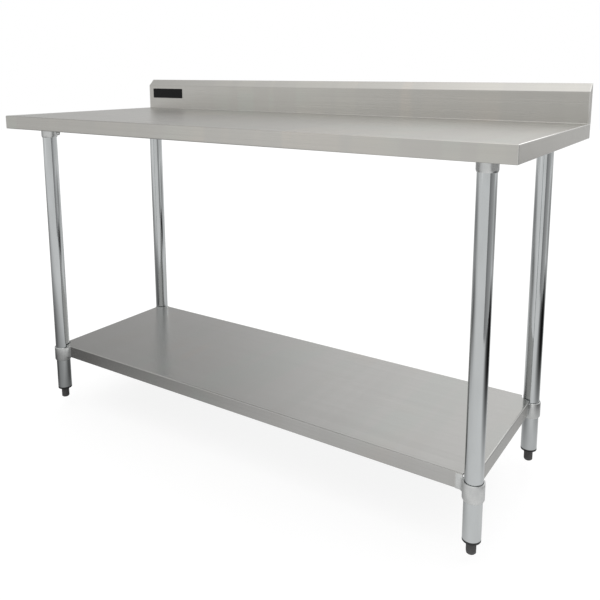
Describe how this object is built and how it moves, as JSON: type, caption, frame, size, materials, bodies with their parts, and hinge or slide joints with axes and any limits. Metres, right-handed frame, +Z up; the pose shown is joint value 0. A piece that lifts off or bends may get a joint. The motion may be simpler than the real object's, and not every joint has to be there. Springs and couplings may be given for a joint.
{
  "type": "stainless work table",
  "caption": "Free-standing stainless steel work table with a folded worktop, rear upstand, tubular legs, height-adjustable lower shelf and screw-in levelling feet.",
  "frame": {"origin": "on the floor, under the middle of the table's bounding box", "axes": "+X along the table to the right seen from the front, +Y towards the wall, +Z up"},
  "size_m": [1.524, 0.61, 1],
  "materials": {
    "worktop_stainless": "fine brushed grain along the table, satin",
    "shelf_stainless": "fine brushed grain along the table, satin",
    "leg_tube": "polished tube",
    "cast_aluminium": "tumbled satin casting",
    "channel_galvanised": "galvanised, spangled",
    "zinc_fasteners": "bright zinc plate",
    "black_screws": "black oxide",
    "insert_plastic": "moulded, fine grain",
    "foot_plastic": "moulded, fine grain",
    "badge_black": "gloss"
  },
  "bodies": {
    "frame": {"worktop": "worktop_stainless", "upstand_end_cap_left": "worktop_stainless", "upstand_end_cap_right": "worktop_stainless", "badge_plate": "badge_black", "transverse_channel_left": "channel_galvanised", "transverse_channel_right": "channel_galvanised", "centre_channel": "channel_galvanised", "channel_studs": "zinc_fasteners", "channel_nuts": "zinc_fasteners", "socket_bolts": "zinc_fasteners", "socket_weld_nuts": "zinc_fasteners", "socket_set_screws": "black_screws", "leg_socket_front_left": "cast_aluminium", "leg_socket_front_right": "cast_aluminium", "leg_socket_rear_left": "cast_aluminium", "leg_socket_rear_right": "cast_aluminium", "leg_front_left": "leg_tube", "leg_front_right": "leg_tube", "leg_rear_left": "leg_tube", "leg_rear_right": "leg_tube", "foot_insert_front_left": "insert_plastic", "foot_insert_front_right": "insert_plastic", "foot_insert_rear_left": "insert_plastic", "foot_insert_rear_right": "insert_plastic"},
    "shelf": {"shelf": "shelf_stainless", "shelf_channel": "channel_galvanised", "collar_set_screws": "black_screws", "shelf_collar_front_left": "cast_aluminium", "shelf_collar_front_right": "cast_aluminium", "shelf_collar_rear_left": "cast_aluminium", "shelf_collar_rear_right": "cast_aluminium"},
    "foot_stud_front_left": {"foot_stud_front_left": "zinc_fasteners"},
    "foot_stud_front_right": {"foot_stud_front_right": "zinc_fasteners"},
    "foot_stud_rear_left": {"foot_stud_rear_left": "zinc_fasteners"},
    "foot_stud_rear_right": {"foot_stud_rear_right": "zinc_fasteners"},
    "foot_front_left": {"foot_front_left": "foot_plastic"},
    "foot_front_right": {"foot_front_right": "foot_plastic"},
    "foot_rear_left": {"foot_rear_left": "foot_plastic"},
    "foot_rear_right": {"foot_rear_right": "foot_plastic"}
  },
  "joints": [
    {"name": "shelf_height", "type": "slide", "parent": "frame", "child": "shelf", "axis": [0, 0, 1], "range_m": [-0.08, 0.6]},
    {"name": "foot_front_left_travel", "type": "slide", "parent": "frame", "child": "foot_stud_front_left", "axis": [0, 0, -1], "range_m": [0, 0.024]},
    {"name": "foot_front_left_turn", "type": "hinge", "parent": "foot_stud_front_left", "child": "foot_front_left", "pos_m": [-0.677, -0.219, 0.013], "axis": [0, 0, -1], "range_deg": [0, 5760]},
    {"name": "foot_front_right_travel", "type": "slide", "parent": "frame", "child": "foot_stud_front_right", "axis": [0, 0, -1], "range_m": [0, 0.024]},
    {"name": "foot_front_right_turn", "type": "hinge", "parent": "foot_stud_front_right", "child": "foot_front_right", "pos_m": [0.677, -0.219, 0.013], "axis": [0, 0, -1], "range_deg": [0, 5760]},
    {"name": "foot_rear_left_travel", "type": "slide", "parent": "frame", "child": "foot_stud_rear_left", "axis": [0, 0, -1], "range_m": [0, 0.024]},
    {"name": "foot_rear_left_turn", "type": "hinge", "parent": "foot_stud_rear_left", "child": "foot_rear_left", "pos_m": [-0.677, 0.219, 0.013], "axis": [0, 0, -1], "range_deg": [0, 5760]},
    {"name": "foot_rear_right_travel", "type": "slide", "parent": "frame", "child": "foot_stud_rear_right", "axis": [0, 0, -1], "range_m": [0, 0.024]},
    {"name": "foot_rear_right_turn", "type": "hinge", "parent": "foot_stud_rear_right", "child": "foot_rear_right", "pos_m": [0.677, 0.219, 0.013], "axis": [0, 0, -1], "range_deg": [0, 5760]}
  ],
  "couplings": [
    {"joint": "foot_front_left_turn", "follows": "foot_front_left_travel", "rad_per_m": 4188.8},
    {"joint": "foot_front_right_turn", "follows": "foot_front_right_travel", "rad_per_m": 4188.8},
    {"joint": "foot_rear_left_turn", "follows": "foot_rear_left_travel", "rad_per_m": 4188.8},
    {"joint": "foot_rear_right_turn", "follows": "foot_rear_right_travel", "rad_per_m": 4188.8}
  ]
}
